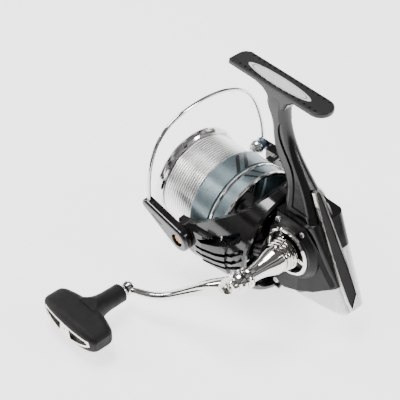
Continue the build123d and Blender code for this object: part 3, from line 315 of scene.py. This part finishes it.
anodised = plain("roller_anodised", (0.20, 0.27, 0.31), metallic=0.9, rough=(0.2, 0.3), patch=150.0,
                 grain=1500.0)

# the finish of each node; a node that isn't named here is ground steel
LOOKS = {
    "body_housing": gloss_body("gloss_body"),
    "side_cover": satin,
    "rear_cover": silver_paint,
    "tail_panel": tail_black,
    "tail_trim": warm_polish,
    "foot_plate": plate_look("plain_plate"),
    "cover_screws": screw_steel,
    "rotor": rotor_black,
    "bail_arm": rotor_black,
    "roller_arm": rotor_black,
    "spool_drum": silver,
    "spool_lip": lip_metal,
    "spool_skirt": skirt_look("skirt_blue_grey"),
    "skirt_rings": lip_metal,
    "roller_cone": turned_metal("cone_silver", (0.8, 0.8, 0.8), (0.1, 0.2)),
    "line_roller": anodised,
    "knob_grip": rubber("grip_rubber"),
    "bail_screws": brass,
    "pinion": brass,
    "felt_washers": felt,
    "drag_knob": moulded,
    "ar_lever": moulded,
    "oscillation_gear": moulded,
    "roller_clutch": moulded,
    "spool_sleeve": moulded,
    "drive_gear": gears,
    "crank_pinion": gears,
    "slider": gears,
    "joint_bolt": polish,
    "crank_ring": polish,
    "handle_shank": polish,
    "handle_cap": polish,
    "crank_arm": polish,
    "knob_inlay": warm_polish,
    "bail_wire": polish,
}
for name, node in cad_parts.items():
    look = LOOKS.get(name, ground)
    node.data.materials.clear()
    node.data.materials.append(look.mat)

# ---- studio -------------------------------------------------------------------
low = min(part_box(name)[0].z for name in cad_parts)
FLOOR_REACH = 7.0              # to each side and towards the camera
FLOOR_GAP = 0.0002             # below the part
CURVE_START = 1.6              # beyond the part, the floor bends up from here
CURVE_RADIUS = 0.9


def ground_sheet():
    """Pale floor that curves up far behind the part."""
    profile = [(-FLOOR_REACH, 0.0), (CURVE_START, 0.0)]
    for turn in (0.3, 0.6, 0.9, 1.2, 1.5):
        distance = CURVE_START + CURVE_RADIUS * math.sin(turn)
        profile.append((distance, CURVE_RADIUS - CURVE_RADIUS * math.cos(turn)))
    along = Vector((0.66, -0.75, 0.0)).normalized()
    across = Vector((0.75, 0.66, 0.0)).normalized()
    verts = []
    for distance, height in profile:
        for side in (-FLOOR_REACH, FLOOR_REACH):
            spot = along * distance + across * side
            verts.append((spot.x, spot.y, low + height - FLOOR_GAP))
    faces = [(2 * i, 2 * i + 1, 2 * i + 3, 2 * i + 2) for i in range(len(profile) - 1)]
    mesh = bpy.data.meshes.new("studio_floor")
    mesh.from_pydata(verts, [], faces)
    floor = bpy.data.objects.new("studio_floor", mesh)
    bpy.context.scene.collection.objects.link(floor)
    return floor


floor = ground_sheet()
paper = Look("studio_paper")
paper_drift = paper.noise(3.0, 3.0)
paper.colour(paper.ramp(paper_drift, [(0.3, (0.90, 0.90, 0.905)), (0.7, (0.925, 0.925, 0.93))]))
paper.set(Roughness=0.9, Specular_IOR_Level=0.1)
paper.set(Emission_Color=(1.0, 1.0, 1.0, 1.0), Emission_Strength=2.0)
paper.bump(paper.noise(500.0, 2.0), 0.05, 0.0002)
floor.data.materials.append(paper.mat)


def soft_box(name, place, target, size, watts, colour=(1.0, 1.0, 1.0)):
    """A rectangular area light that faces the target."""
    light = bpy.data.lights.new(name, "AREA")
    light.shape = "RECTANGLE"
    light.size = size[0]
    light.size_y = size[1]
    light.energy = watts
    light.color = colour
    lamp = bpy.data.objects.new(name, light)
    lamp.location = place
    lamp.rotation_euler = (Vector(target) - Vector(place)).to_track_quat("-Z", "Y").to_euler()
    bpy.context.scene.collection.objects.link(lamp)


middle = (0.0, 0.02, -0.09)
soft_box("key_box", (0.25, 0.10, 0.95), middle, (0.45, 0.45), 11.0)
soft_box("left_box", (0.75, 0.55, 0.35), middle, (0.12, 0.6), 5.0, (1.0, 0.985, 0.96))
soft_box("right_box", (-0.75, -0.45, 0.40), middle, (0.10, 0.6), 4.0)

world = bpy.data.worlds.new("studio_air")
bpy.context.scene.world = world
world.use_nodes = True
air = world.node_tree
air.nodes.clear()
sky_out = air.nodes.new("ShaderNodeOutputWorld")
sky = air.nodes.new("ShaderNodeBackground")
coord = air.nodes.new("ShaderNodeTexCoord")
split = air.nodes.new("ShaderNodeSeparateXYZ")
ramp = air.nodes.new("ShaderNodeValToRGB")
air.links.new(coord.outputs["Generated"], split.inputs["Vector"])
air.links.new(split.outputs["Z"], ramp.inputs["Fac"])
# brightness by how high a direction points: two bright bands, dark between them
SKY = [(0.0, 0.02), (0.5, 0.35), (0.53, 0.03), (0.64, 0.03), (0.72, 0.55), (0.80, 0.10), (1.0, 0.14)]
while len(ramp.color_ramp.elements) < len(SKY):
    ramp.color_ramp.elements.new(0.5)
for element, (at, value) in zip(ramp.color_ramp.elements, SKY):
    element.position = at
    element.color = (value, value, value, 1.0)
air.links.new(ramp.outputs["Color"], sky.inputs["Color"])
sky.inputs["Strength"].default_value = 1.2
air.links.new(sky.outputs["Background"], sky_out.inputs["Surface"])

# ---- camera: over the back left of the reel, looking down at about 42 degrees ------
view = bpy.data.cameras.new("photo_view")
view.lens = 108.39
view.sensor_width = 36.0
view.clip_start = 0.01
camera = bpy.data.objects.new("photo_view", view)
right = Vector((-0.66867642, -0.74352516, 0.00649526))
up = Vector((0.49980398, -0.44298814, 0.74428321))
back = Vector((-0.55051596, 0.50093098, 0.66783256))
place = Vector((-0.35173, 0.37826, 0.37754))
camera.matrix_world = Matrix((
    (right.x, up.x, back.x, place.x),
    (right.y, up.y, back.y, place.y),
    (right.z, up.z, back.z, place.z),
    (0.0, 0.0, 0.0, 1.0),
))
bpy.context.scene.collection.objects.link(camera)
bpy.context.scene.camera = camera
